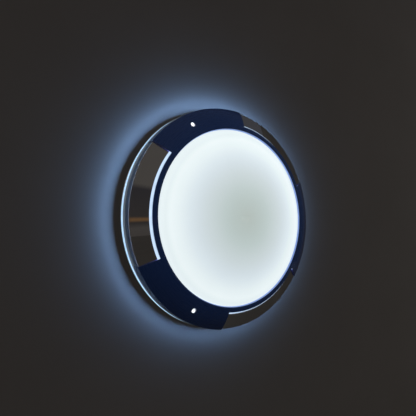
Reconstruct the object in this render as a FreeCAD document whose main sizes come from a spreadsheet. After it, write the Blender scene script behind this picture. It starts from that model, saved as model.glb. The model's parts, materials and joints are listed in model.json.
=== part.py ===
"""Round lighted advertising sign, 0.5 m across, hung on a wall by a two-part cleat.

The axis of the sign is Y.  The wall is the plane y = 0 and the sign stands in front of it, towards -Y, with
+Z up.  The origin is the middle of the four fixing holes of the wall cleat, on the wall.  Every round piece is
drawn about its own Y axis and is then lowered to the centre of the sign.  "Depth" is the distance in front of
the wall.
"""
import FreeCAD, Part
import math
import os
import Sketcher

doc = FreeCAD.newDocument("LightedSign")
sheet = doc.addObject("Spreadsheet::Sheet", "Sheet")

# Driving dimensions in millimetres, degrees and counts.
SIZES = dict(
    centre_drop=110.0,
    # wall cleat and the cleat on the back of the sign
    cleat_width=220.0, cleat_sheet=2.0, cleat_half_height=22.0, cleat_hole=5.5, cleat_hole_span=180.0,
    cleat_hole_rise=24.0, wall_lip_depth=6.0, wall_lip_height=14.0, hanger_lip_depth=2.6, hanger_lip_height=11.3,
    hanger_play=0.3, hanger_flange_height=22.0, rivet_diameter=4.0, rivet_head=7.0, rivet_span=60.0,
    # tray
    tray_radius=250.0, tray_back=12.0, tray_sheet=1.5, tray_bevel=4.0, shelf_depth=26.0, collar_radius=241.5,
    collar_top=52.0, bumper_diameter=20.0, bumper_circle=200.0, bumper_turn=330.0,
    bumper_count=3, bumper_spread=120.0,
    # cord inlet
    inlet_drop=120.0, inlet_hole=16.0, inlet_flange=22.0, inlet_flange_sheet=2.0, inlet_bore=7.0,
    # lit rim
    strip_back=28.0, strip_width=9.0, strip_sheet=0.8, chip_size=3.5, chip_height=1.5, rim_chip_width=2.8,
    rim_chip_count=72, diffuser_radius=252.5, diffuser_wall=3.5, diffuser_top=37.8, diffuser_foot=3.0,
    grip_sheet=0.4, grip_back=39.5, grip_width=8.5,
    # reflector and the lights behind the face
    pan_back=38.0, pan_radius=205.0, pan_sheet=1.5, pan_top=70.0, post_diameter=8.0, post_circle=150.0,
    post_bore=4.0, post_count=6, board_inner=176.0, board_outer=192.0, board_sheet=1.6, face_chip_circle=184.0,
    face_chip_count=48, board_screw_circle=178.5, board_screw_count=8,
    board_screw_turn=22.5,
    screw_head=7.0, screw_head_height=2.2, small_head=4.4, small_head_height=1.6, small_shank=3.0,
    screw_play=0.1,
    # wiring
    driver_left=-50.0, driver_length=150.0, driver_low=20.0, driver_width=46.0, driver_top=35.5,
    driver_ear=10.0, driver_ear_sheet=2.0, driver_corner=3.0, terminal_length=36.0, terminal_width=18.0,
    terminal_top=29.5, terminal_drop=79.0, terminal_pitch=11.0, terminal_hole=5.0, terminal_hole_depth=8.0,
    stud_x=45.0, stud_drop=100.0, stud_diameter=4.0, stud_top=24.0, nut_radius=4.2, nut_height=3.2,
    lead_diameter=5.0, lead_depth=25.0, lead_turn_x=172.0, lead_first_x=-112.0, lead_end_x=-212.0,
    # front frame: hoop, bed of the fascia, fascia, mirrors, pins
    hoop_radius=249.7, hoop_sheet=2.0, hoop_back=38.3, web_back=40.0, web_sheet=2.0, web_play=0.1,
    bed_radius=206.0, bed_depth=80.2, bed_slope=0.54, bed_sheet=2.2, bed_skirt_radius=204.2,
    opening_radius=198.0, bevel_foot=80.6, lip_radius=199.3, lip_depth=84.5, crest_radius=202.0,
    crest_depth=85.2, skin_sheet=1.0,
    shoulder_radius=251.6, shoulder_depth=60.0, crown_rise=3.4, skirt_back=38.6,
    window_mouth=84.0, window_mouth_radius=207.5, window_lip_radius=210.8, window_radius=212.5,
    window_bevel_foot=80.5, window_foot_radius=214.8, window_foot=75.0, window_angle=61.0,
    window_turn=53.3, window_count=3, mirror_sheet=2.2, mirror_play=0.4, mirror_edge_radius=249.5,
    mirror_angle=60.7,
    pin_circle=226.0, pin_diameter=9.5, pin_top=74.6, pin_length=2.6, pin_start=240.0, pin_spread=120.0,
    pin_count=2,
    # face
    dome_radius=197.0, dome_edge=79.5, dome_rise=32.0, dome_sheet=3.0, dome_flange_radius=203.5,
    gasket_inner=199.5, clamp_inner=194.0, clamp_outer=214.5, clamp_back=71.0, clamp_sheet=2.0,
    clamp_screw_circle=211.0, clamp_screw_count=6, boss_diameter=6.4, boss_top=75.2,
)

for row, (alias, number) in enumerate(SIZES.items(), start=1):
    sheet.set(f"A{row}", alias)
    sheet.set(f"B{row}", str(number))
    sheet.setAlias(f"B{row}", alias)
doc.recompute()


class Dim:
    """A length worked out from the sheet: its number, and the expression that binds it."""

    def __init__(self, number, text):
        self.number = number
        self.text = text

    def _join(self, other, sign, result):
        other_text = other.text if isinstance(other, Dim) else str(other)
        return Dim(result, f"({self.text} {sign} {other_text})")

    def __add__(self, other):
        return self._join(other, "+", self.number + number_of(other))

    def __sub__(self, other):
        return self._join(other, "-", self.number - number_of(other))

    def __mul__(self, other):
        return self._join(other, "*", self.number * number_of(other))

    def __truediv__(self, other):
        return self._join(other, "/", self.number / number_of(other))

    def __neg__(self):
        return Dim(-self.number, f"(0 - {self.text})")


def number_of(value):
    """The plain number of a Dim or a number."""
    return value.number if isinstance(value, Dim) else value


class Sizes:
    """The sheet's cells as Dims, by alias."""

    def __getattr__(self, alias):
        return Dim(float(sheet.get(alias)), f"Sheet.{alias}")


z = Sizes()
ZERO = Dim(0.0, "0")
bodies = []


def role(body, name):
    """The origin plane or axis of a body with the given role."""
    return next(item for item in body.Origin.OriginFeatures if item.Role == name)


def new_body(label, turn=None):
    """A body on the axis of the sign, turned anticlockwise seen from the front by an angle in degrees."""
    body = doc.addObject("PartDesign::Body", label)
    body.Label = label
    body.AllowCompound = True
    spin = FreeCAD.Rotation(FreeCAD.Vector(0, -1, 0), number_of(turn or ZERO))
    body.Placement = FreeCAD.Placement(FreeCAD.Vector(0, 0, -z.centre_drop.number), spin)
    body.setExpression(".Placement.Base.z", (-z.centre_drop).text)
    bodies.append(body)
    return body


def new_sketch(body, plane, offset=ZERO, turn=ZERO):
    """A sketch on an origin plane, moved along the plane's normal and turned about it."""
    sketch = body.newObject("Sketcher::SketchObject", f"{body.Name}_sketch")
    sketch.AttachmentSupport = [(role(body, plane), "")]
    sketch.MapMode = "FlatFace"
    spin = FreeCAD.Rotation(FreeCAD.Vector(0, 0, 1), turn.number)
    sketch.AttachmentOffset = FreeCAD.Placement(FreeCAD.Vector(0, 0, offset.number), spin)
    if offset is not ZERO:
        sketch.setExpression(".AttachmentOffset.Base.z", offset.text)
    return sketch


def place_point(sketch, edge, end, across, up):
    """Holds one end or centre of a sketch edge at a distance across and up from the sketch's origin."""
    for kind, distance, axis in (("DistanceX", across, -2), ("DistanceY", up, -1)):
        if distance.number == 0.0:
            sketch.addConstraint(Sketcher.Constraint("PointOnObject", edge, end, axis))
            continue
        ends = (-1, 1, edge, end) if distance.number > 0 else (edge, end, -1, 1)
        index = sketch.addConstraint(Sketcher.Constraint(kind, *ends, abs(distance.number)))
        size = distance if distance.number > 0 else -distance
        sketch.setExpression(f"Constraints[{index}]", size.text)


def rectangle(sketch, left, right, low, high):
    """A rectangle between left and right, low and high."""
    outline(sketch, [(left, low), (right, low), (right, high), (left, high)])


def arc_radius(run, climb, rise):
    """Radius of the arc whose chord has a run and a climb, and which rises above the chord by a rise."""
    return ((run * run + climb * climb) / 4.0 + rise * rise) / (rise * 2.0)


def outline(sketch, corners, bows=None):
    """A closed outline through corners given as (across, up).

    bows maps a side, numbered by the corner that it starts from, to the radius of its arc: a positive radius
    bows to the right of the way the side runs, and a negative one to the left.
    """
    bows = bows or {}
    points = [FreeCAD.Vector(across.number, up.number, 0) for across, up in corners]
    ends = []
    for side, start in enumerate(points):
        end = points[(side + 1) % len(points)]
        if side in bows:
            chord = end - start
            right = FreeCAD.Vector(chord.y, -chord.x, 0).normalize()
            radius = bows[side].number
            rise = abs(radius) - math.sqrt(radius ** 2 - (chord.Length / 2) ** 2)
            middle = (start + end) * 0.5 + right * math.copysign(rise, radius)
            edge = sketch.addGeometry(Part.Arc(start, middle, end), False)
            first = sketch.getPoint(edge, 1)
            forward = first.distanceToPoint(start) < first.distanceToPoint(end)
            ends.append((edge, 1, 2) if forward else (edge, 2, 1))
        else:
            edge = sketch.addGeometry(Part.LineSegment(start, end), False)
            ends.append((edge, 1, 2))
    for side, (edge, first, last) in enumerate(ends):
        following = ends[(side + 1) % len(ends)]
        sketch.addConstraint(Sketcher.Constraint("Coincident", edge, last, following[0], following[1]))
        place_point(sketch, edge, first, *corners[side])
    for side, radius in bows.items():
        size = radius if radius.number > 0 else -radius
        index = sketch.addConstraint(Sketcher.Constraint("Radius", ends[side][0], size.number))
        sketch.setExpression(f"Constraints[{index}]", size.text)


def circle(sketch, across, up, diameter):
    """A circle of a diameter about a point."""
    centre = FreeCAD.Vector(across.number, up.number, 0)
    edge = sketch.addGeometry(Part.Circle(centre, FreeCAD.Vector(0, 0, 1), diameter.number / 2), False)
    place_point(sketch, edge, 3, across, up)
    index = sketch.addConstraint(Sketcher.Constraint("Diameter", edge, diameter.number))
    sketch.setExpression(f"Constraints[{index}]", diameter.text)


def feature(body, kind, sketch):
    """A PartDesign feature of a body made from a sketch."""
    item = body.newObject(f"PartDesign::{kind}", f"{body.Name}_{kind}")
    item.Profile = sketch
    sketch.Visibility = False
    return item


def turned(body, corners, bows=None, angle=None):
    """Turns an outline of (radius, depth) corners about the axis, all the way or by an angle about +X."""
    sketch = new_sketch(body, "XY_Plane")
    outline(sketch, [(radius, -depth) for radius, depth in corners], bows)
    item = feature(body, "Revolution", sketch)
    item.ReferenceAxis = (sketch, ["V_Axis"])
    if angle is not None:
        item.Midplane = True
        item.setExpression("Angle", angle.text)
    body.Tip = item
    return item


def ring(label, inner, outer, back, front):
    """A plain ring between two radii and two depths."""
    body = new_body(label)
    turned(body, [(inner, back), (outer, back), (outer, front), (inner, front)])
    return body


def pad(body, sketch, length, kind="Pad"):
    """Pads or pockets a sketch by a length along its plane's normal."""
    item = feature(body, kind, sketch)
    item.Length = length.number
    item.setExpression("Length", length.text)
    body.Tip = item
    return item


def post(body, across, up, diameter, back, front):
    """A round post of a body between two depths."""
    sketch = new_sketch(body, "XZ_Plane", offset=back)
    circle(sketch, across, up, diameter)
    return pad(body, sketch, front - back)


def drill(body, across, up, diameter, back, front, turn=ZERO):
    """A round hole between two depths, turned about the axis by an angle."""
    doc.recompute()
    before = body.Shape.Volume
    sketch = new_sketch(body, "XZ_Plane", offset=back, turn=turn)
    circle(sketch, across, up, diameter)
    item = pad(body, sketch, front - back, "Pocket")
    item.Reversed = True
    doc.recompute()
    if body.Shape.Volume > before - 1.0:
        raise RuntimeError(f"a hole in {body.Label} cuts nothing")
    return item


def around(body, items, count, angle=None):
    """Repeats features of a body evenly around the axis, clockwise seen from the front, over an angle."""
    item = body.newObject("PartDesign::PolarPattern", f"{body.Name}_pattern")
    item.Originals = items
    item.Axis = (role(body, "Y_Axis"), [""])
    item.setExpression("Occurrences", count.text)
    item.Angle = 360.0
    if angle is not None:
        item.setExpression("Angle", angle.text)
    body.Tip = item
    return item


def block(body, left, right, low, high, back, front):
    """A rectangular block of a body between two depths."""
    sketch = new_sketch(body, "XZ_Plane", offset=back)
    rectangle(sketch, left, right, low, high)
    return pad(body, sketch, front - back)


def folded(label, corners):
    """A folded sheet as long as the cleat, from its section of (depth, height) corners above the origin."""
    body = new_body(label)
    sketch = new_sketch(body, "YZ_Plane")
    outline(sketch, [(-depth, height + z.centre_drop) for depth, height in corners])
    item = pad(body, sketch, z.cleat_width)
    item.SideType = "Symmetric"
    return body


def bed(radius):
    """Depth of the sloping bed that the fascia and the mirrors lie on."""
    return z.bed_depth - z.bed_slope * (radius - z.bed_radius)


# --- hanging: the wall cleat, the cleat on the sign, its rivets ---------------------------------------------
sheet_two = z.cleat_sheet
fold = z.cleat_half_height
wall_lip_top = fold + z.wall_lip_height + sheet_two
wall_cleat = folded("wall_cleat", [
    (ZERO, -fold),
    (ZERO, fold + sheet_two),
    (z.wall_lip_depth, fold + sheet_two),
    (z.wall_lip_depth, wall_lip_top),
    (z.wall_lip_depth + sheet_two, wall_lip_top),
    (z.wall_lip_depth + sheet_two, fold),
    (sheet_two, fold),
    (sheet_two, -fold),
])
for side in (-1.0, 1.0):
    for level in (-1.0, 1.0):
        drill(wall_cleat, z.cleat_hole_span * (side / 2), z.centre_drop + z.cleat_hole_rise * (level / 2),
              z.cleat_hole, -sheet_two, sheet_two * 2.0)

hook = wall_lip_top + z.hanger_play
hanger_cleat = folded("hanger_cleat", [
    (z.hanger_lip_depth, hook - z.hanger_lip_height),
    (z.hanger_lip_depth, hook + sheet_two),
    (z.tray_back - sheet_two, hook + sheet_two),
    (z.tray_back - sheet_two, hook + z.hanger_flange_height),
    (z.tray_back, hook + z.hanger_flange_height),
    (z.tray_back, hook),
    (z.hanger_lip_depth + sheet_two, hook),
    (z.hanger_lip_depth + sheet_two, hook - z.hanger_lip_height),
])
rivet_level = z.centre_drop + hook + z.hanger_flange_height / 2.0 + 1.0
rivets = new_body("hanger_rivets")
rivet_places = [z.rivet_span * (step - 1.5) for step in range(4)]
floor_front = z.tray_back + z.tray_sheet
for place in rivet_places:
    post(rivets, place, rivet_level, z.rivet_head, z.tray_back - sheet_two - 1.5, z.tray_back - sheet_two)
    post(rivets, place, rivet_level, z.rivet_diameter, z.tray_back - sheet_two, floor_front)
    post(rivets, place, rivet_level, z.rivet_head, floor_front, floor_front + 1.2)
    drill(hanger_cleat, place, rivet_level, z.rivet_diameter, z.tray_back - sheet_two * 2.0, z.tray_back + 1.0)

# --- tray: floor, bevelled wall, shelf for the diffuser, collar for the front frame -------------------------
collar_inner = z.collar_radius - z.tray_sheet
wall_inner = z.tray_radius - z.tray_sheet
back_tray = new_body("back_tray")
turned(back_tray, [
    (ZERO, z.tray_back),
    (z.tray_radius - z.tray_bevel, z.tray_back),
    (z.tray_radius, z.tray_back + z.tray_bevel),
    (z.tray_radius, z.shelf_depth),
    (z.collar_radius, z.shelf_depth),
    (z.collar_radius, z.collar_top),
    (collar_inner, z.collar_top),
    (collar_inner, z.shelf_depth - z.tray_sheet),
    (wall_inner, z.shelf_depth - z.tray_sheet),
    (wall_inner, floor_front + z.tray_bevel - 0.6),
    (wall_inner - z.tray_bevel + 0.6, floor_front),
    (ZERO, floor_front),
])
floor_holes = [(place, rivet_level, z.rivet_diameter) for place in rivet_places]
floor_holes.append((ZERO, -z.inlet_drop, z.inlet_hole))
floor_holes.append((z.stud_x, -z.stud_drop, z.stud_diameter))
driver_right = z.driver_left + z.driver_length
driver_level = z.driver_low + z.driver_width / 2.0
ear_places = [z.driver_left - z.driver_ear / 2.0, driver_right + z.driver_ear / 2.0]
floor_holes += [(place, driver_level, z.small_shank) for place in ear_places]
for across, up, diameter in floor_holes:
    drill(back_tray, across, up, diameter, z.tray_back - 1.0, floor_front + 1.0)

bumpers = new_body("wall_bumpers", z.bumper_turn)
bumper = post(bumpers, z.bumper_circle, ZERO, z.bumper_diameter, ZERO, z.tray_back)
around(bumpers, [bumper], z.bumper_count, z.bumper_spread)

grommet = new_body("cord_grommet")
post(grommet, ZERO, -z.inlet_drop, z.inlet_flange, z.tray_back - z.inlet_flange_sheet, z.tray_back)
post(grommet, ZERO, -z.inlet_drop, z.inlet_hole, z.tray_back, floor_front)
post(grommet, ZERO, -z.inlet_drop, z.inlet_flange, floor_front, floor_front + z.inlet_flange_sheet)
drill(grommet, ZERO, -z.inlet_drop, z.inlet_bore, ZERO, floor_front * 2.0)

# --- lit rim ------------------------------------------------------------------------------------------------
strip_front = z.strip_back + z.strip_width
strip_outer = z.collar_radius + z.strip_sheet
ring("rim_led_strip", z.collar_radius, strip_outer, z.strip_back, strip_front)
rim_chips = new_body("rim_led_chips")
chip_back = z.strip_back + (z.strip_width - z.rim_chip_width) / 2.0
half_chip = z.chip_size / 2.0
chip = block(rim_chips, strip_outer, strip_outer + z.chip_height, -half_chip, half_chip, chip_back,
             chip_back + z.rim_chip_width)
around(rim_chips, [chip], z.rim_chip_count)

diffuser_inner = z.diffuser_radius - z.diffuser_wall
rim_diffuser = new_body("rim_diffuser")
turned(rim_diffuser, [
    (diffuser_inner - z.diffuser_foot, z.shelf_depth),
    (z.diffuser_radius, z.shelf_depth),
    (z.diffuser_radius, z.diffuser_top),
    (diffuser_inner, z.diffuser_top),
    (diffuser_inner, z.shelf_depth + z.diffuser_foot),
    (diffuser_inner - z.diffuser_foot, z.shelf_depth + z.diffuser_foot),
])
ring("grip_band", z.collar_radius, z.collar_radius + z.grip_sheet, z.grip_back, z.grip_back + z.grip_width)

# --- reflector, its posts and screws, the board of the face lights ------------------------------------------
pan_front = z.pan_back + z.pan_sheet
reflector = new_body("reflector_pan")
turned(reflector, [
    (ZERO, z.pan_back),
    (z.pan_radius, z.pan_back),
    (z.pan_radius, z.pan_top),
    (z.pan_radius - z.pan_sheet, z.pan_top),
    (z.pan_radius - z.pan_sheet, pan_front),
    (ZERO, pan_front),
])
hole = drill(reflector, z.post_circle, ZERO, z.post_bore, z.pan_back - 1.0, pan_front + 1.0)
around(reflector, [hole], z.post_count)
hole = drill(reflector, z.board_screw_circle, ZERO, z.small_shank, z.pan_back - 1.0, pan_front + 1.0,
             z.board_screw_turn)
around(reflector, [hole], z.board_screw_count)
drill(reflector, z.lead_turn_x, driver_level, z.lead_diameter + 1.0, z.pan_back - 1.0, pan_front + 1.0)

posts = new_body("reflector_posts")
tube = post(posts, z.post_circle, ZERO, z.post_diameter, floor_front, z.pan_back)
bore = drill(posts, z.post_circle, ZERO, z.post_bore, floor_front + 8.0, z.pan_back + 1.0)
around(posts, [tube, bore], z.post_count)

reflector_screws = new_body("reflector_screws")
shank = post(reflector_screws, z.post_circle, ZERO, z.post_bore - z.screw_play, floor_front + 12.0, pan_front)
head = post(reflector_screws, z.post_circle, ZERO, z.screw_head, pan_front, pan_front + z.screw_head_height)
around(reflector_screws, [shank, head], z.post_count)

board_front = pan_front + z.board_sheet
board = ring("face_led_board", z.board_inner, z.board_outer, pan_front, board_front)
hole = drill(board, z.board_screw_circle, ZERO, z.small_shank, pan_front - 1.0, board_front + 1.0,
             z.board_screw_turn)
around(board, [hole], z.board_screw_count)
face_chips = new_body("face_led_chips")
chip = block(face_chips, z.face_chip_circle - half_chip, z.face_chip_circle + half_chip, -half_chip, half_chip,
             board_front, board_front + z.chip_height)
around(face_chips, [chip], z.face_chip_count)

board_screws = new_body("board_screws", z.board_screw_turn)
shank = post(board_screws, z.board_screw_circle, ZERO, z.small_shank - z.screw_play, z.pan_back - 2.0,
             board_front)
head = post(board_screws, z.board_screw_circle, ZERO, z.small_head, board_front,
            board_front + z.small_head_height)
around(board_screws, [shank, head], z.board_screw_count)

# --- wiring: driver, terminal block, earth stud, leads ------------------------------------------------------
driver_high = z.driver_low + z.driver_width
ear_front = floor_front + z.driver_ear_sheet
driver = new_body("led_driver")
block(driver, z.driver_left - z.driver_ear, driver_right + z.driver_ear, z.driver_low, driver_high,
      floor_front, ear_front)
case = block(driver, z.driver_left, driver_right, z.driver_low, driver_high, ear_front, z.driver_top)
doc.recompute()
top_edges = [f"Edge{number}" for number, edge in enumerate(case.Shape.Edges, start=1)
             if all(abs(vertex.Y + z.driver_top.number) < 0.01 for vertex in edge.Vertexes)]
rounding = driver.newObject("PartDesign::Fillet", "led_driver_rounding")
rounding.Base = (case, top_edges)
rounding.Radius = z.driver_corner.number
rounding.setExpression("Radius", z.driver_corner.text)
driver.Tip = rounding
for place in ear_places:
    drill(driver, place, driver_level, z.small_shank, floor_front - 1.0, ear_front + 1.0)

driver_screws = new_body("driver_screws")
for place in ear_places:
    post(driver_screws, place, driver_level, z.small_shank - z.screw_play, z.tray_back - 1.0, ear_front)
    post(driver_screws, place, driver_level, z.screw_head, ear_front, ear_front + z.screw_head_height)

terminal = new_body("terminal_block")
block(terminal, -z.terminal_length / 2.0, z.terminal_length / 2.0, -z.terminal_drop,
      z.terminal_width - z.terminal_drop, floor_front, z.terminal_top)
for step in (-1.0, 0.0, 1.0):
    drill(terminal, z.terminal_pitch * step, z.terminal_width / 2.0 - z.terminal_drop, z.terminal_hole,
          z.terminal_top - z.terminal_hole_depth, z.terminal_top + 1.0)


def standing(label, kind, across, up, back, height, **lengths):
    """A Part primitive that stands on a depth, with its own axis along -Y, and its lengths bound."""
    item = doc.addObject(f"Part::{kind}", label)
    lengths["Height"] = height
    for name, length in lengths.items():
        setattr(item, name, length.number)
        item.setExpression(name, length.text)
    base = FreeCAD.Vector(across.number, -back.number, up.number - z.centre_drop.number)
    item.Placement = FreeCAD.Placement(base, FreeCAD.Rotation(FreeCAD.Vector(1, 0, 0), 90))
    item.setExpression(".Placement.Base.z", (up - z.centre_drop).text)
    return item


stud_rod = standing("stud_rod", "Cylinder", z.stud_x, -z.stud_drop, z.tray_back - 1.0,
                    z.stud_top - z.tray_back + 1.0, Radius=z.stud_diameter / 2.0)
stud_nut = standing("stud_nut", "Prism", z.stud_x, -z.stud_drop, floor_front, z.nut_height,
                    Circumradius=z.nut_radius)
earth_stud = doc.addObject("Part::Fuse", "earth_stud")
earth_stud.Base = stud_rod
earth_stud.Tool = stud_nut
earth_stud.Label = "earth_stud"
bodies.append(earth_stud)


def lead(label, points):
    """A lead of the lead's diameter along straight runs joined by tangent arcs, through (x, up, depth)."""
    corners = [FreeCAD.Vector(x.number, -depth.number, up.number) for x, up, depth in points]
    edges = []
    start = corners[0]
    for before, corner, after in zip(corners, corners[1:], corners[2:]):
        towards = (before - corner).normalize()
        onwards = (after - corner).normalize()
        half_turn = (math.pi - towards.getAngle(onwards)) / 2
        shorter = min((before - corner).Length, (after - corner).Length)
        reach = shorter * 0.45
        radius = reach / math.tan(half_turn)
        first = corner + towards * reach
        last = corner + onwards * reach
        inward = (towards + onwards).normalize()
        middle = corner + inward * (math.hypot(radius, reach) - radius)
        edges.append(Part.LineSegment(start, first).toShape())
        edges.append(Part.Arc(first, middle, last).toShape())
        start = last
    edges.append(Part.LineSegment(start, corners[-1]).toShape())
    path = Part.Wire(edges)
    way = (corners[1] - corners[0]).normalize()
    section = Part.Wire(Part.makeCircle(z.lead_diameter.number / 2, corners[0], way))
    item = doc.addObject("Part::Feature", label)
    item.Label = label
    item.Shape = path.makePipeShell([section], True, False)
    item.Placement = FreeCAD.Placement(FreeCAD.Vector(0, 0, -z.centre_drop.number), FreeCAD.Rotation())
    bodies.append(item)
    expected = math.pi * (z.lead_diameter.number / 2) ** 2 * path.Length
    if abs(item.Shape.Volume / expected - 1) > 0.01:
        raise RuntimeError(f"{label} has the wrong volume")


lead("lead_face", [
    (driver_right, driver_level, z.lead_depth),
    (z.lead_turn_x, driver_level, z.lead_depth),
    (z.lead_turn_x, driver_level, pan_front),
])
lead_slope = (z.lead_end_x - z.lead_first_x) * -0.62
lead("lead_rim", [
    (z.driver_left, driver_level, z.lead_depth),
    (z.lead_first_x, driver_level, z.lead_depth),
    (z.lead_end_x, driver_level + lead_slope, z.lead_depth),
])
lead("lead_mains", [
    (ZERO, z.terminal_width - z.terminal_drop, z.lead_depth),
    (ZERO, z.driver_low, z.lead_depth),
])

# --- front frame: hoop, bed, fascia, mirrors and pins -------------------------------------------------------
hoop_inner = z.hoop_radius - z.hoop_sheet
web_inner = z.collar_radius + z.grip_sheet + z.web_play
hoop = new_body("rim_band")
turned(hoop, [
    (hoop_inner, z.hoop_back),
    (z.hoop_radius, z.hoop_back),
    (z.hoop_radius, bed(z.hoop_radius)),
    (hoop_inner, bed(hoop_inner) - z.bed_sheet),
    (hoop_inner, z.web_back + z.web_sheet),
    (web_inner, z.web_back + z.web_sheet),
    (web_inner, z.web_back),
    (hoop_inner, z.web_back),
])

skirt_outer = z.bed_skirt_radius + 2.0
clamp_front = z.clamp_back + z.clamp_sheet
carrier = new_body("carrier_ring")
turned(carrier, [
    (z.bed_skirt_radius, clamp_front),
    (skirt_outer, clamp_front),
    (skirt_outer, bed(skirt_outer) - z.bed_sheet),
    (hoop_inner, bed(hoop_inner) - z.bed_sheet),
    (z.hoop_radius, bed(z.hoop_radius)),
    (z.bed_radius, z.bed_depth),
    (z.bed_skirt_radius, z.bed_depth),
])
boss = post(carrier, z.clamp_screw_circle, ZERO, z.boss_diameter, clamp_front, z.boss_top)
boss_bore = drill(carrier, z.clamp_screw_circle, ZERO, z.small_shank, clamp_front - 1.0, z.boss_top - 0.4)
around(carrier, [boss, boss_bore], z.clamp_screw_count)

pin_turn = z.pin_start - z.window_turn


def pierced(label, corners, bows, edge):
    """A layer of the fascia: turned, cut by the three windows and drilled for the two light pins."""
    body = new_body(label, z.window_turn)
    turned(body, corners, bows)
    doc.recompute()
    before = body.Shape.Volume
    sketch = new_sketch(body, "XY_Plane")
    beyond = z.shoulder_radius + 4.0
    outline(sketch, [(radius, -depth) for radius, depth in edge] + [
        (edge[-1][0], -(z.skirt_back - 2.0)),
        (beyond, -(z.skirt_back - 2.0)),
        (beyond, -z.window_mouth),
    ])
    window = feature(body, "Groove", sketch)
    window.ReferenceAxis = (sketch, ["V_Axis"])
    window.Midplane = True
    window.setExpression("Angle", z.window_angle.text)
    body.Tip = window
    around(body, [window], z.window_count)
    doc.recompute()
    if body.Shape.Volume > before * 0.8:
        raise RuntimeError(f"the windows of {label} cut too little")
    hole = drill(body, z.pin_circle, ZERO, z.pin_diameter, z.window_foot - 15.0, z.crest_depth + 1.0, pin_turn)
    around(body, [hole], z.pin_count, z.pin_spread)
    return body


core_crest = z.crest_depth - z.skin_sheet
core_shoulder = z.shoulder_depth - 0.4
skin_arc = arc_radius(z.shoulder_radius - z.crest_radius, z.crest_depth - z.shoulder_depth, z.crown_rise)
core_arc = arc_radius(z.hoop_radius - z.crest_radius, core_crest - core_shoulder, z.crown_rise)
pierced("fascia_core", [
    (z.opening_radius, z.bed_depth),
    (z.bed_radius, z.bed_depth),
    (z.hoop_radius, bed(z.hoop_radius)),
    (z.hoop_radius, core_shoulder),
    (z.crest_radius, core_crest),
    (z.lip_radius, z.lip_depth - z.skin_sheet),
    (z.opening_radius, z.bevel_foot),
], {3: -core_arc}, [
    (z.window_mouth_radius, z.window_mouth),
    (z.window_radius, z.window_bevel_foot),
    (z.window_foot_radius, z.window_foot),
])
pierced("fascia_skin", [
    (z.hoop_radius, z.skirt_back),
    (z.shoulder_radius, z.skirt_back),
    (z.shoulder_radius, z.shoulder_depth),
    (z.crest_radius, z.crest_depth),
    (z.lip_radius, z.lip_depth),
    (z.lip_radius, z.lip_depth - z.skin_sheet),
    (z.crest_radius, core_crest),
    (z.hoop_radius, core_shoulder),
], {2: -skin_arc, 6: core_arc}, [
    (z.window_lip_radius, z.window_mouth),
])

mirror_inner = z.window_foot_radius + z.mirror_play
for number, name in enumerate(("upper_right", "left", "lower_right")):
    mirror = new_body(f"mirror_{name}", z.window_turn + 120.0 * number)
    turned(mirror, [
        (mirror_inner, bed(mirror_inner)),
        (z.mirror_edge_radius, bed(z.mirror_edge_radius)),
        (z.mirror_edge_radius, bed(z.mirror_edge_radius) + z.mirror_sheet),
        (mirror_inner, bed(mirror_inner) + z.mirror_sheet),
    ], angle=z.mirror_angle)

pins = new_body("light_pins", z.pin_start)
around(pins, [post(pins, z.pin_circle, ZERO, z.pin_diameter - z.screw_play, z.pin_top - z.pin_length, z.pin_top)],
       z.pin_count, z.pin_spread)

# --- face: dome, gasket, clamp ring, screws -----------------------------------------------------------------
dome_underside = z.dome_edge - z.dome_sheet
dome_arc = (z.dome_radius * z.dome_radius + z.dome_rise * z.dome_rise) / (z.dome_rise * 2.0)
dome = new_body("dome_face")
turned(dome, [
    (z.dome_radius, dome_underside),
    (z.dome_flange_radius, dome_underside),
    (z.dome_flange_radius, z.dome_edge),
    (z.dome_radius, z.dome_edge),
    (ZERO, z.dome_edge + z.dome_rise),
    (ZERO, dome_underside + z.dome_rise),
], {3: -dome_arc, 5: dome_arc})
ring("face_gasket", z.gasket_inner, z.dome_flange_radius, z.dome_edge, z.bed_depth)

clamp = new_body("clamp_ring")
turned(clamp, [
    (z.clamp_inner, z.clamp_back),
    (z.clamp_outer, z.clamp_back),
    (z.clamp_outer, clamp_front),
    (z.dome_flange_radius, clamp_front),
    (z.dome_flange_radius, dome_underside),
    (z.gasket_inner, dome_underside),
    (z.gasket_inner, clamp_front),
    (z.clamp_inner, clamp_front),
])
hole = drill(clamp, z.clamp_screw_circle, ZERO, z.small_shank, z.clamp_back - 1.0, clamp_front + 1.0)
around(clamp, [hole], z.clamp_screw_count)
clamp_screws = new_body("clamp_screws")
shank = post(clamp_screws, z.clamp_screw_circle, ZERO, z.small_shank - z.screw_play, z.clamp_back,
             z.boss_top - 0.6)
head = post(clamp_screws, z.clamp_screw_circle, ZERO, z.small_head, z.clamp_back - z.small_head_height,
            z.clamp_back)
around(clamp_screws, [shank, head], z.clamp_screw_count)

# --- checks and export --------------------------------------------------------------------------------------
doc.recompute()
for item in doc.Objects:
    if any(state in ("Invalid", "Error") for state in item.State):
        raise RuntimeError(f"{item.Label} has failed: {item.State}")
for item in bodies:
    if item.Shape.isNull() or not item.Shape.isValid():
        raise RuntimeError(f"{item.Label} has no valid shape")

os.makedirs("parts", exist_ok=True)
for item in bodies:
    item.Shape.exportStep(f"parts/{item.Label}.step")
    print(f"{item.Label:20s} solids {len(item.Shape.Solids):3d}  volume {item.Shape.Volume / 1000:9.2f} cm3")
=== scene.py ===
"""Looks of the lighted round advertising sign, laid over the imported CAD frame.

Metres, in the CAD frame: the origin is the middle of the wall cleat's screw holes, on the wall,
the front of the sign looks along -Y, and the sign's own centre is 110 mm under the origin.
"""

import json
import math

import bpy
from mathutils import Matrix, Vector

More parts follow.
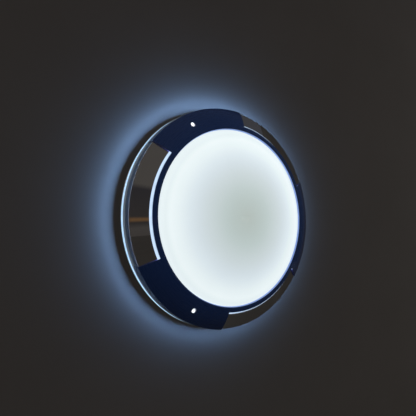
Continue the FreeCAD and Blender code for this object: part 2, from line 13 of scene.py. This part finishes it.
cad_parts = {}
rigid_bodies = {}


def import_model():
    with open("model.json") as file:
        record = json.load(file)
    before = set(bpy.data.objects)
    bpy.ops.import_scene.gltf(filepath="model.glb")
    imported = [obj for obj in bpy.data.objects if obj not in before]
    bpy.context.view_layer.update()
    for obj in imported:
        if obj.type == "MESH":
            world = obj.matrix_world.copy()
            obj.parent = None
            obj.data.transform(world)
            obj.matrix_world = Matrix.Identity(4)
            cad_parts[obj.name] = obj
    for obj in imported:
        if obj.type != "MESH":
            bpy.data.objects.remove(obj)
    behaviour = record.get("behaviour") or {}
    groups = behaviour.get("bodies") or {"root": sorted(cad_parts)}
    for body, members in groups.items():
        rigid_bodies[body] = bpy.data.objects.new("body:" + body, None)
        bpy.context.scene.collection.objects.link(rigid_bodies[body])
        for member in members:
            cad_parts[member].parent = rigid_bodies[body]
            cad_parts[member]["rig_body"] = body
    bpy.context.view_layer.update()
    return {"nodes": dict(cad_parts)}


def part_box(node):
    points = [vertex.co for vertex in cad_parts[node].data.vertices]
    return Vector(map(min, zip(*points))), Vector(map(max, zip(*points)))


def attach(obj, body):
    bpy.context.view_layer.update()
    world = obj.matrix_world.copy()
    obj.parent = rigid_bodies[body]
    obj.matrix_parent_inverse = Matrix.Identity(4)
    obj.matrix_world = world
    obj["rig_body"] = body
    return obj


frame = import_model()
nodes = frame["nodes"]

face_low, face_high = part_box("dome_face")
tray_low, tray_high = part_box("back_tray")
rim_low, rim_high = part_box("rim_diffuser")
CENTRE_X = (tray_low.x + tray_high.x) / 2
CENTRE_Z = (tray_low.z + tray_high.z) / 2
TRAY_RADIUS = (tray_high.x - tray_low.x) / 2
FACE_RADIUS = (face_high.x - face_low.x) / 2


# ---------------------------------------------------------------- node helpers


class Graph:
    """A material's node tree, with short calls for the nodes that the finishes use."""

    def __init__(self, name, **settings):
        self.material = bpy.data.materials.new(name)
        self.material.use_nodes = True
        self.tree = self.material.node_tree
        self.shader = self.tree.nodes["Principled BSDF"]
        self.place = self.add("ShaderNodeTexCoord").outputs["Object"]
        for socket, value in settings.items():
            self.set(socket, value)

    def add(self, kind):
        return self.tree.nodes.new(kind)

    def link(self, source, target):
        self.tree.links.new(source, target)

    def set(self, socket, value):
        self.shader.inputs[socket.replace("_", " ")].default_value = value

    def feed(self, socket, source):
        self.link(source, self.shader.inputs[socket.replace("_", " ")])

    def noise(self, scale, detail=3.0, rough=0.55, place=None, stretch=None):
        node = self.add("ShaderNodeTexNoise")
        node.inputs["Scale"].default_value = scale
        node.inputs["Detail"].default_value = detail
        node.inputs["Roughness"].default_value = rough
        place = place or self.place
        if stretch:
            mapping = self.add("ShaderNodeMapping")
            mapping.inputs["Scale"].default_value = stretch
            self.link(place, mapping.inputs["Vector"])
            place = mapping.outputs["Vector"]
        self.link(place, node.inputs["Vector"])
        return node.outputs["Fac"]

    def cells(self, scale, feature="F1"):
        node = self.add("ShaderNodeTexVoronoi")
        node.feature = feature
        node.inputs["Scale"].default_value = scale
        self.link(self.place, node.inputs["Vector"])
        return node.outputs["Distance"]

    def ramp(self, source, stops):
        node = self.add("ShaderNodeValToRGB")
        points = node.color_ramp.elements
        while len(points) < len(stops):
            points.new(0.5)
        for point, (where, colour) in zip(points, stops):
            point.position = where
            point.color = (*colour, 1.0) if isinstance(colour, tuple) else (colour, colour, colour, 1.0)
        self.link(source, node.inputs["Fac"])
        return node.outputs["Color"]

    def span(self, source, low, high, to_low=0.0, to_high=1.0):
        node = self.add("ShaderNodeMapRange")
        for socket, value in zip(("From Min", "From Max", "To Min", "To Max"), (low, high, to_low, to_high)):
            node.inputs[socket].default_value = value
        self.link(source, node.inputs["Value"])
        return node.outputs["Result"]

    def math(self, operation, a, b=None):
        node = self.add("ShaderNodeMath")
        node.operation = operation
        for index, value in enumerate((a, b)):
            if value is None:
                continue
            if isinstance(value, (int, float)):
                node.inputs[index].default_value = value
            else:
                self.link(value, node.inputs[index])
        return node.outputs["Value"]

    def mix(self, factor, a, b, mode="MIX"):
        node = self.add("ShaderNodeMix")
        node.data_type = "RGBA"
        node.blend_type = mode
        sockets = [s for s in node.inputs if s.type == "RGBA"]
        for socket, value in ((node.inputs["Factor"], factor), (sockets[0], a), (sockets[1], b)):
            if isinstance(value, (int, float)):
                socket.default_value = value
            elif isinstance(value, tuple):
                socket.default_value = (*value, 1.0)
            else:
                self.link(value, socket)
        return [s for s in node.outputs if s.type == "RGBA"][0]

    def axes(self, x, z):
        """The place's X, Y and Z, with X and Z measured from an axis."""
        split = self.add("ShaderNodeSeparateXYZ")
        self.link(self.place, split.inputs["Vector"])
        return (
            self.math("SUBTRACT", split.outputs["X"], x),
            split.outputs["Y"],
            self.math("SUBTRACT", split.outputs["Z"], z),
        )

    def radius(self, x=0.0, z=0.0):
        """Distance from the sign's axis, or from an axis beside it."""
        across, _, up = self.axes(CENTRE_X + x, CENTRE_Z + z)
        squares = self.math("ADD", self.math("MULTIPLY", across, across), self.math("MULTIPLY", up, up))
        return self.math("SQRT", squares)

    def turned(self):
        """A place in turned coordinates, radius, depth and angle, for marks that run round the axis."""
        across, depth, up = self.axes(CENTRE_X, CENTRE_Z)
        join = self.add("ShaderNodeCombineXYZ")
        self.link(self.radius(), join.inputs["X"])
        self.link(depth, join.inputs["Y"])
        self.link(self.math("ARCTAN2", up, across), join.inputs["Z"])
        return join.outputs["Vector"]

    def bump(self, height, strength, distance):
        node = self.add("ShaderNodeBump")
        node.inputs["Strength"].default_value = strength
        node.inputs["Distance"].default_value = distance
        self.link(height, node.inputs["Height"])
        return node.outputs["Normal"]


def painted(name, dark, light, rough):
    """A plain finish with slow colour change, fine grain in the gloss and a fine texture."""
    g = Graph(name)
    g.feed("Base Color", g.ramp(g.noise(14.0, 4.0), [(0.32, dark), (0.68, light)]))
    g.feed("Roughness", g.span(g.noise(150.0, 5.0), 0.3, 0.7, *rough))
    g.feed("Normal", g.bump(g.noise(900.0, 2.0), 0.15, 0.0004))
    return g.material


def rolled(name, dark, light, rough, run):
    """Bare metal: streaks along the rolling or drawing direction, and dull patches."""
    g = Graph(name, Metallic=1.0)
    streak = g.noise(60.0, 6.0, 0.7, stretch=run)
    patch = g.noise(9.0, 4.0)
    mean = g.math("MULTIPLY", g.math("ADD", streak, patch), 0.5)
    g.feed("Base Color", g.ramp(mean, [(0.36, dark), (0.64, light)]))
    g.feed("Roughness", g.span(g.math("ADD", streak, patch), 0.7, 1.3, *rough))
    g.feed("Normal", g.bump(streak, 0.1, 0.0003))
    return g.material


def spun(name, dark, light, rough):
    """Bare metal brushed round the sign's axis."""
    g = Graph(name, Metallic=1.0)
    place = g.turned()
    lines = g.noise(1.0, 4.0, 0.7, place, (2600.0, 2600.0, 3.0))
    patch = g.noise(1.0, 4.0, 0.5, place, (60.0, 60.0, 5.0))
    mean = g.math("MULTIPLY", g.math("ADD", lines, patch), 0.5)
    g.feed("Base Color", g.ramp(mean, [(0.35, dark), (0.65, light)]))
    g.feed("Roughness", g.span(lines, 0.3, 0.7, *rough))
    g.feed("Normal", g.bump(lines, 0.08, 0.0002))
    return g.material


# ---------------------------------------------------------------- the finishes


def navy_enamel():
    """Glossy navy paint on the pressed front skin, with slight orange peel, dust and fine wipe marks."""
    g = Graph("navy_enamel", Coat_Weight=0.9, Coat_Roughness=0.055, Coat_IOR=1.5)
    g.set("Specular IOR Level", 0.42)
    tone = g.ramp(g.noise(7.0, 4.0), [(0.30, (0.0042, 0.0150, 0.060)), (0.70, (0.0056, 0.0190, 0.070))])
    dust = g.span(g.noise(1600.0, 2.0), 0.66, 0.76)
    g.feed("Base Color", g.mix(g.math("MULTIPLY", dust, 0.06), tone, (0.16, 0.19, 0.28)))
    wipes = g.noise(1.0, 5.0, 0.65, g.turned(), (900.0, 900.0, 9.0))
    g.feed("Roughness", g.span(wipes, 0.3, 0.7, 0.22, 0.36))
    g.feed("Normal", g.bump(g.noise(260.0, 2.0), 0.05, 0.0006))
    return g.material


def lit_face():
    """Pressed opal acrylic, lit from behind its edge: white there, grey-green in the middle."""
    g = Graph("opal_acrylic_lit", Emission_Strength=1.0)
    g.set("Specular IOR Level", 0.3)
    reach = g.math("DIVIDE", g.radius(0.006, -0.0025), FACE_RADIUS)
    stops = [
        (0.00, (0.352, 0.412, 0.387)),
        (0.20, (0.386, 0.461, 0.446)),
        (0.30, (0.420, 0.501, 0.494)),
        (0.40, (0.470, 0.547, 0.555)),
        (0.50, (0.516, 0.592, 0.616)),
        (0.60, (0.568, 0.649, 0.694)),
        (0.69, (0.630, 0.718, 0.766)),
        (0.79, (0.718, 0.804, 0.830)),
        (0.88, (0.770, 0.856, 0.874)),
        (0.93, (0.716, 0.802, 0.820)),
        (0.96, (0.736, 0.822, 0.842)),
    ]
    cloud = g.ramp(g.noise(11.0, 3.0), [(0.3, 0.975), (0.7, 1.0)])
    g.feed("Emission Color", g.mix(1.0, g.ramp(reach, stops), cloud, "MULTIPLY"))
    g.feed("Base Color", g.ramp(g.noise(500.0, 3.0), [(0.3, (0.15, 0.16, 0.16)), (0.7, (0.17, 0.18, 0.18))]))
    g.feed("Roughness", g.span(g.noise(70.0, 5.0), 0.3, 0.7, 0.30, 0.42))
    g.feed("Normal", g.bump(g.noise(900.0, 2.0), 0.03, 0.0003))
    return g.material


def edge_lit_core():
    """Clear ring lit through its edge: bright on the windows' round walls, dim violet along their sides."""
    g = Graph("edge_lit_acrylic", Emission_Strength=1.4)
    reach = g.math("DIVIDE", g.radius(), TRAY_RADIUS)
    stops = [
        (0.790, (0.11, 0.19, 0.46)),
        (0.806, (0.17, 0.26, 0.54)),
        (0.842, (0.30, 0.41, 0.60)),
        (0.850, (0.50, 0.64, 0.80)),
        (0.858, (0.44, 0.58, 0.76)),
        (0.864, (0.07, 0.08, 0.36)),
        (0.880, (0.012, 0.015, 0.060)),
        (0.930, (0.002, 0.003, 0.014)),
        (1.000, (0.003, 0.004, 0.016)),
    ]
    cloud = g.ramp(g.noise(60.0, 4.0), [(0.3, 0.82), (0.7, 1.0)])
    g.feed("Emission Color", g.mix(1.0, g.ramp(reach, stops), cloud, "MULTIPLY"))
    clear = [(0.3, (0.030, 0.040, 0.085)), (0.7, (0.045, 0.058, 0.110))]
    g.feed("Base Color", g.ramp(g.noise(90.0, 4.0), clear))
    g.feed("Roughness", g.span(g.noise(300.0, 4.0), 0.3, 0.7, 0.16, 0.34))
    g.feed("Normal", g.bump(g.noise(1.0, 4.0, 0.6, g.turned(), (90.0, 2400.0, 20.0)), 0.08, 0.0003))
    return g.material


RIM_LAMPS = 72


def rim_light():
    """Frosted lens of the halo light, blue-white, a little brighter over each lamp of the strip."""
    g = Graph("rim_lens_lit", Emission_Strength=1.18)
    across, depth, up = g.axes(CENTRE_X, CENTRE_Z)
    lamps = g.math("SINE", g.math("MULTIPLY", g.math("ARCTAN2", up, across), RIM_LAMPS))
    glow = g.math("ADD", g.math("MULTIPLY", lamps, 0.35), g.noise(16.0, 3.0))
    tone = g.ramp(glow, [(0.2, (0.38, 0.60, 0.84)), (0.8, (0.44, 0.67, 0.90))])
    # The lens's front edge stays dim, and its outer side glows.
    front = -rim_low.y
    lit = g.span(g.math("MULTIPLY", depth, -1.0), front - 0.0020, front - 0.0032, 0.06, 1.0)
    g.feed("Emission Color", g.mix(1.0, tone, lit, "MULTIPLY"))
    g.feed("Base Color", g.ramp(g.noise(30.0, 3.0), [(0.3, (0.20, 0.22, 0.26)), (0.7, (0.24, 0.27, 0.31))]))
    g.feed("Roughness", g.span(g.noise(240.0, 4.0), 0.3, 0.7, 0.38, 0.52))
    g.feed("Normal", g.bump(g.noise(1500.0, 2.0), 0.06, 0.0003))
    return g.material


def pin_light():
    """End-lit acrylic pins that shine through the navy ring."""
    g = Graph("light_pin_lit", Emission_Strength=1.0)
    g.feed("Emission Color", g.ramp(g.noise(180.0, 3.0), [(0.3, (0.80, 0.92, 1.0)), (0.7, (1.0, 1.0, 1.0))]))
    g.feed("Base Color", g.ramp(g.noise(90.0, 2.0), [(0.3, (0.6, 0.62, 0.66)), (0.7, (0.7, 0.72, 0.76))]))
    g.feed("Roughness", g.span(g.noise(300.0, 3.0), 0.3, 0.7, 0.2, 0.35))
    return g.material


def lamp_chips():
    """White chip lamps: yellow phosphor over a white package."""
    g = Graph("led_chip_lit", Emission_Strength=1.6)
    glare = [(0.35, (0.70, 0.84, 1.0)), (0.65, (1.0, 0.98, 0.90))]
    g.feed("Emission Color", g.ramp(g.noise(400.0, 3.0), glare))
    g.feed("Base Color", g.ramp(g.cells(300.0), [(0.2, (0.75, 0.66, 0.25)), (0.6, (0.80, 0.79, 0.74))]))
    g.feed("Roughness", g.span(g.noise(500.0, 3.0), 0.3, 0.7, 0.25, 0.5))
    return g.material


def silvered():
    """Silvered acrylic mirror with faint wipe smears, dust and hairline scratches."""
    g = Graph("acrylic_mirror", Metallic=1.0)
    g.set("Specular IOR Level", 0.5)
    smear = g.noise(5.0, 5.0, 0.6)
    g.feed("Base Color", g.ramp(smear, [(0.30, (0.80, 0.81, 0.82)), (0.70, (0.90, 0.905, 0.91))]))
    hair = g.span(g.noise(1.0, 2.0, 0.5, g.turned(), (160.0, 160.0, 900.0)), 0.70, 0.80)
    haze = g.span(smear, 0.45, 0.75, 0.028, 0.075)
    g.feed("Roughness", g.math("ADD", haze, g.math("MULTIPLY", hair, 0.10)))
    g.feed("Normal", g.bump(g.noise(18.0, 1.0), 0.03, 0.002))
    return g.material


def powder_coat():
    """Matt black powder coat on the tray, with its fine orange peel, dust and rubbed patches."""
    g = Graph("black_powder_coat")
    g.set("Specular IOR Level", 0.25)
    worn = g.span(g.noise(38.0, 6.0, 0.7), 0.62, 0.74)
    tone = g.ramp(g.noise(12.0, 4.0), [(0.3, (0.012, 0.014, 0.018)), (0.7, (0.020, 0.022, 0.028))])
    g.feed("Base Color", g.mix(g.math("MULTIPLY", worn, 0.35), tone, (0.11, 0.11, 0.115)))
    g.feed("Roughness", g.span(g.noise(120.0, 4.0), 0.3, 0.7, 0.42, 0.60))
    g.feed("Normal", g.bump(g.cells(900.0, "SMOOTH_F1"), 0.25, 0.0005))
    return g.material


def rubber():
    """Moulded black rubber with bloom and small pits."""
    g = Graph("moulded_rubber")
    g.set("Specular IOR Level", 0.3)
    bloom = g.noise(45.0, 5.0, 0.65)
    g.feed("Base Color", g.ramp(bloom, [(0.35, (0.016, 0.016, 0.016)), (0.70, (0.050, 0.050, 0.048))]))
    g.feed("Roughness", g.span(bloom, 0.3, 0.7, 0.62, 0.85))
    g.feed("Normal", g.bump(g.noise(1300.0, 3.0), 0.3, 0.0004))
    return g.material


def board():
    """White solder mask with the copper tracks just showing through."""
    g = Graph("lamp_board")
    place = g.turned()
    tracks = g.span(g.noise(1.0, 0.0, 0.5, place, (190.0, 40.0, 5.0)), 0.46, 0.50)
    g.feed("Base Color", g.mix(tracks, (0.78, 0.79, 0.77), (0.70, 0.72, 0.70)))
    g.feed("Roughness", g.span(g.noise(200.0, 4.0), 0.3, 0.7, 0.28, 0.42))
    g.feed("Normal", g.bump(tracks, 0.25, 0.0003))
    return g.material


def sheath():
    """Lead sheath: soft grey plastic, scuffed."""
    g = Graph("lead_sheath")
    g.feed("Base Color", g.ramp(g.noise(120.0, 5.0), [(0.35, (0.30, 0.30, 0.31)), (0.7, (0.42, 0.42, 0.43))]))
    g.feed("Roughness", g.span(g.noise(500.0, 4.0), 0.3, 0.7, 0.40, 0.62))
    g.feed("Normal", g.bump(g.noise(900.0, 3.0), 0.15, 0.0003))
    return g.material


# How the streaks of bare metal are stretched along X, Y and Z.
SIDEWAYS = (0.12, 1.0, 1.0)
EVENLY = (1.0, 1.0, 1.0)
ALONG_DEPTH = (1.0, 0.2, 1.0)

FINISHES = {
    "navy": navy_enamel(),
    "face_opal": lit_face(),
    "edge_lit": edge_lit_core(),
    "rim_opal": rim_light(),
    "pin_opal": pin_light(),
    "led": lamp_chips(),
    "mirror": silvered(),
    "black_tray": powder_coat(),
    "rubber": rubber(),
    "white_board": board(),
    "lead_sheath": sheath(),
    "hoop_alu": spun("brushed_hoop", (0.24, 0.26, 0.29), (0.34, 0.36, 0.40), (0.30, 0.46)),
    "post_alu": spun("turned_aluminium", (0.56, 0.57, 0.58), (0.72, 0.73, 0.74), (0.30, 0.46)),
    "zinc_steel": rolled("zinc_steel", (0.40, 0.41, 0.43), (0.62, 0.63, 0.65), (0.30, 0.52), SIDEWAYS),
    "rivet": rolled("rivet_metal", (0.50, 0.50, 0.51), (0.68, 0.68, 0.69), (0.28, 0.45), EVENLY),
    "screw_steel": rolled("screw_steel", (0.42, 0.43, 0.45), (0.64, 0.65, 0.66), (0.22, 0.40), ALONG_DEPTH),
    "stud_brass": rolled("stud_brass", (0.46, 0.31, 0.11), (0.66, 0.47, 0.20), (0.24, 0.44), ALONG_DEPTH),
    "white_pan": painted("white_pan_paint", (0.70, 0.71, 0.70), (0.80, 0.81, 0.80), (0.40, 0.56)),
    "carrier_opal": painted("opal_carrier", (0.58, 0.61, 0.66), (0.68, 0.71, 0.76), (0.30, 0.46)),
    "driver_case": painted("driver_case", (0.60, 0.61, 0.62), (0.70, 0.71, 0.72), (0.38, 0.55)),
    "terminal_plastic": painted("terminal_plastic", (0.52, 0.50, 0.44), (0.62, 0.60, 0.54), (0.40, 0.58)),
}

for node in nodes.values():
    slot = node.data.materials[0].name.split(".")[0]
    node.data.materials[0] = FINISHES[slot]
    for polygon in node.data.polygons:
        polygon.use_smooth = True


# ---------------------------------------------------------------- the room: pale wall and floor, soft light


def slab(name, corners, material):
    """One flat face of the room."""
    mesh = bpy.data.meshes.new(name)
    mesh.from_pydata([Vector(c) for c in corners], [], [tuple(range(len(corners)))])
    made = bpy.data.objects.new(name, mesh)
    bpy.context.scene.collection.objects.link(made)
    mesh.materials.append(material)
    return made


def room_paint(name, one_sided):
    """Matt pale paint, a little uneven."""
    g = Graph(name)
    g.set("Specular IOR Level", 0.1)
    pale = [(0.3, (0.53, 0.50, 0.455)), (0.7, (0.57, 0.54, 0.495))]
    g.feed("Base Color", g.ramp(g.noise(3.0, 4.0), pale))
    g.feed("Roughness", g.span(g.noise(60.0, 4.0), 0.3, 0.7, 0.80, 0.95))
    if one_sided:
        # Seen from behind, the wall isn't there, so the back of the sign can be looked at.
        behind = g.add("ShaderNodeNewGeometry").outputs["Backfacing"]
        clear = g.add("ShaderNodeBsdfTransparent")
        pick = g.add("ShaderNodeMixShader")
        g.link(behind, pick.inputs[0])
        g.link(g.shader.outputs[0], pick.inputs[1])
        g.link(clear.outputs[0], pick.inputs[2])
        g.link(pick.outputs[0], g.tree.nodes["Material Output"].inputs["Surface"])
    return g.material


WALL_Y = 0.0006
FLOOR_Z = tray_low.z - 0.50
CEILING_Z = 2.2
ROOM_SIDE = 3.0
ROOM_FRONT = -3.5
wall = slab(
    "wall",
    [
        (-ROOM_SIDE, WALL_Y, FLOOR_Z),
        (ROOM_SIDE, WALL_Y, FLOOR_Z),
        (ROOM_SIDE, WALL_Y, CEILING_Z),
        (-ROOM_SIDE, WALL_Y, CEILING_Z),
    ],
    room_paint("wall_paint", True),
)
floor = slab(
    "floor",
    [
        (-ROOM_SIDE, WALL_Y, FLOOR_Z),
        (-ROOM_SIDE, ROOM_FRONT, FLOOR_Z),
        (ROOM_SIDE, ROOM_FRONT, FLOOR_Z),
        (ROOM_SIDE, WALL_Y, FLOOR_Z),
    ],
    room_paint("floor_paint", False),
)

world = bpy.data.worlds.new("room")
bpy.context.scene.world = world
world.use_nodes = True
sky = world.node_tree
direction = sky.nodes.new("ShaderNodeTexCoord").outputs["Generated"]
parts = sky.nodes.new("ShaderNodeSeparateXYZ")
sky.links.new(direction, parts.inputs["Vector"])
height = sky.nodes.new("ShaderNodeMapRange")
height.inputs["From Min"].default_value = -1.0
sky.links.new(parts.outputs["Z"], height.inputs["Value"])


def bands(stops):
    """A room seen softly in the gloss: one colour for each height, from straight down to straight up."""
    fade = sky.nodes.new("ShaderNodeValToRGB")
    while len(fade.color_ramp.elements) < len(stops):
        fade.color_ramp.elements.new(0.5)
    for point, (where, colour) in zip(fade.color_ramp.elements, stops):
        point.position = where
        point.color = (*colour, 1.0)
    sky.links.new(height.outputs["Result"], fade.inputs["Fac"])
    return fade.outputs["Color"]


in_front = bands([
    (0.150, (0.036, 0.036, 0.037)),
    (0.170, (0.019, 0.021, 0.026)),
    (0.350, (0.021, 0.022, 0.027)),
    (0.385, (0.044, 0.038, 0.035)),
    (0.455, (0.050, 0.045, 0.042)),
    (0.485, (0.024, 0.022, 0.022)),
    (0.497, (0.110, 0.062, 0.030)),
    (0.503, (0.110, 0.062, 0.030)),
    (0.515, (0.028, 0.025, 0.024)),
    (0.660, (0.024, 0.022, 0.024)),
    (0.685, (0.062, 0.056, 0.051)),
    (1.000, (0.060, 0.055, 0.051)),
])
beside = bands([
    (0.130, (0.034, 0.036, 0.038)),
    (0.160, (0.017, 0.019, 0.025)),
    (0.350, (0.020, 0.022, 0.030)),
    (0.620, (0.032, 0.034, 0.042)),
    (0.800, (0.048, 0.048, 0.054)),
    (1.000, (0.050, 0.050, 0.054)),
])
side = sky.nodes.new("ShaderNodeMapRange")
side.inputs["From Max"].default_value = 0.5
sky.links.new(parts.outputs["X"], side.inputs["Value"])
blend = sky.nodes.new("ShaderNodeMix")
blend.data_type = "RGBA"
sky.links.new(side.outputs["Result"], blend.inputs["Factor"])
colours = [socket for socket in blend.inputs if socket.type == "RGBA"]
sky.links.new(in_front, colours[0])
sky.links.new(beside, colours[1])
mixed = [socket for socket in blend.outputs if socket.type == "RGBA"][0]
sky.links.new(mixed, sky.nodes["Background"].inputs["Color"])


def linked(light, kind, state, objects):
    """Limits what a light shines on (receiver) or what shadows it (blocker).

    INCLUDE keeps it to these objects, and EXCLUDE leaves these out.
    """
    group = bpy.data.collections.new(f"{light.name}_{kind}")
    for item in objects:
        group.objects.link(item)
    setattr(light.light_linking, f"{kind}_collection", group)
    for member in group.collection_objects:
        member.light_linking.link_state = state


SOFT_WHITE = (1.0, 0.98, 0.96)
COOL_WHITE = (0.95, 0.97, 1.0)


def lamp(name, where, towards, size, power, colour, glossy=True):
    """A rectangular light, never seen by the camera itself."""
    data = bpy.data.lights.new(name, "AREA")
    data.shape = "RECTANGLE"
    data.size, data.size_y = size
    data.energy = power
    data.color = colour
    made = bpy.data.objects.new(name, data)
    bpy.context.scene.collection.objects.link(made)
    made.location = where
    made.rotation_mode = "QUATERNION"
    made.rotation_quaternion = (Vector(towards) - Vector(where)).to_track_quat("-Z", "Y")
    made.visible_camera = False
    made.visible_glossy = glossy
    return made


mirrors = [nodes[name] for name in nodes if name.startswith("mirror_")]
front_frame = [node for node in nodes.values() if node["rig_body"] == "front_frame"]
middle = (0.0, 0.0, CENTRE_Z)
for name, where, size, power in (
    ("soft_left", (-1.6, -1.8, 0.9), (1.8, 1.4), 28.0),
    ("soft_right", (1.8, -1.5, 0.5), (1.4, 1.8), 26.0),
    ("soft_top", (0.0, -0.9, 1.9), (1.8, 1.4), 4.0),
):
    made = lamp(name, where, middle, size, power, SOFT_WHITE, glossy=False)
    linked(made, "receiver", "EXCLUDE", [wall, floor, *mirrors])
for name, where, size, power in (
    ("back_left", (-0.35, 1.6, 0.8), (1.4, 1.2), 26.0),
    ("back_right", (0.5, 1.5, 0.1), (1.2, 1.4), 12.0),
):
    made = lamp(name, where, middle, size, power, SOFT_WHITE)
    linked(made, "receiver", "EXCLUDE", [wall, floor, nodes["rim_diffuser"], *front_frame])
    linked(made, "blocker", "INCLUDE", list(nodes.values()))

# Lights the far end of the wall, which the right-hand mirrors reflect.
lamp("side_fill", (2.5, -0.9, 0.0), (2.5, 0.0, 0.0), (1.2, 1.6), 1.6, COOL_WHITE, glossy=False)

# The lens's own glow stays off the wall, because the halo lamps stand in for it there.
linked(nodes["rim_diffuser"], "receiver", "EXCLUDE", [wall])

# The halo light leaves the rim lens all round and washes the wall. These lamps ride with the sign.
HALO_LAMPS = 48
HALO_RADIUS = TRAY_RADIUS - 0.0045
HALO_DEPTH = (rim_low.y + rim_high.y) / 2 - 0.0006
HALO_SIZE = (0.032, 0.005)
HALO_BLUE = (0.28, 0.51, 1.0)
HALO_OUTWARD = 0.64
HALO_WALLWARD = 0.77
HALO_POWER = 0.0061
HALO_MORE_AT_TOP = 0.36
HALO_SPREAD = math.radians(125)
shades = [nodes[name] for name in ("back_tray", "rim_band", "fascia_skin")]
for index in range(HALO_LAMPS):
    angle = 2 * math.pi * index / HALO_LAMPS
    out = Vector((math.cos(angle), 0.0, math.sin(angle)))
    where = Vector((CENTRE_X, HALO_DEPTH, CENTRE_Z)) + out * HALO_RADIUS
    along = Vector((-math.sin(angle), 0.0, math.cos(angle)))
    back = -(out * HALO_OUTWARD + Vector((0.0, HALO_WALLWARD, 0.0))).normalized()
    power = HALO_POWER * (1.0 + HALO_MORE_AT_TOP * out.z)
    made = lamp(f"halo_{index:02d}", where, where - back, HALO_SIZE, power, HALO_BLUE, glossy=False)
    # The lamp's long side lies along the rim.
    made.rotation_quaternion = Matrix((along, back.cross(along), back)).transposed().to_quaternion()
    made.data.spread = HALO_SPREAD
    linked(made, "blocker", "INCLUDE", shades)
    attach(made, "sign_body")


# ---------------------------------------------------------------- camera

CAMERA_ROLL = math.radians(-0.4)
camera_data = bpy.data.cameras.new("camera")
camera_data.sensor_width = 36.0
camera_data.lens = 32.51
camera = bpy.data.objects.new("camera", camera_data)
bpy.context.scene.collection.objects.link(camera)
eye = Vector((-0.5287, -0.7472, -0.1449))
aim = Vector((-0.0812, -0.0840, -0.0925))
turn = (aim - eye).to_track_quat("-Z", "Y").to_matrix().to_4x4()
camera.matrix_world = Matrix.Translation(eye) @ turn @ Matrix.Rotation(CAMERA_ROLL, 4, "Z")
bpy.context.scene.camera = camera
bpy.context.scene.view_settings.view_transform = "Standard"
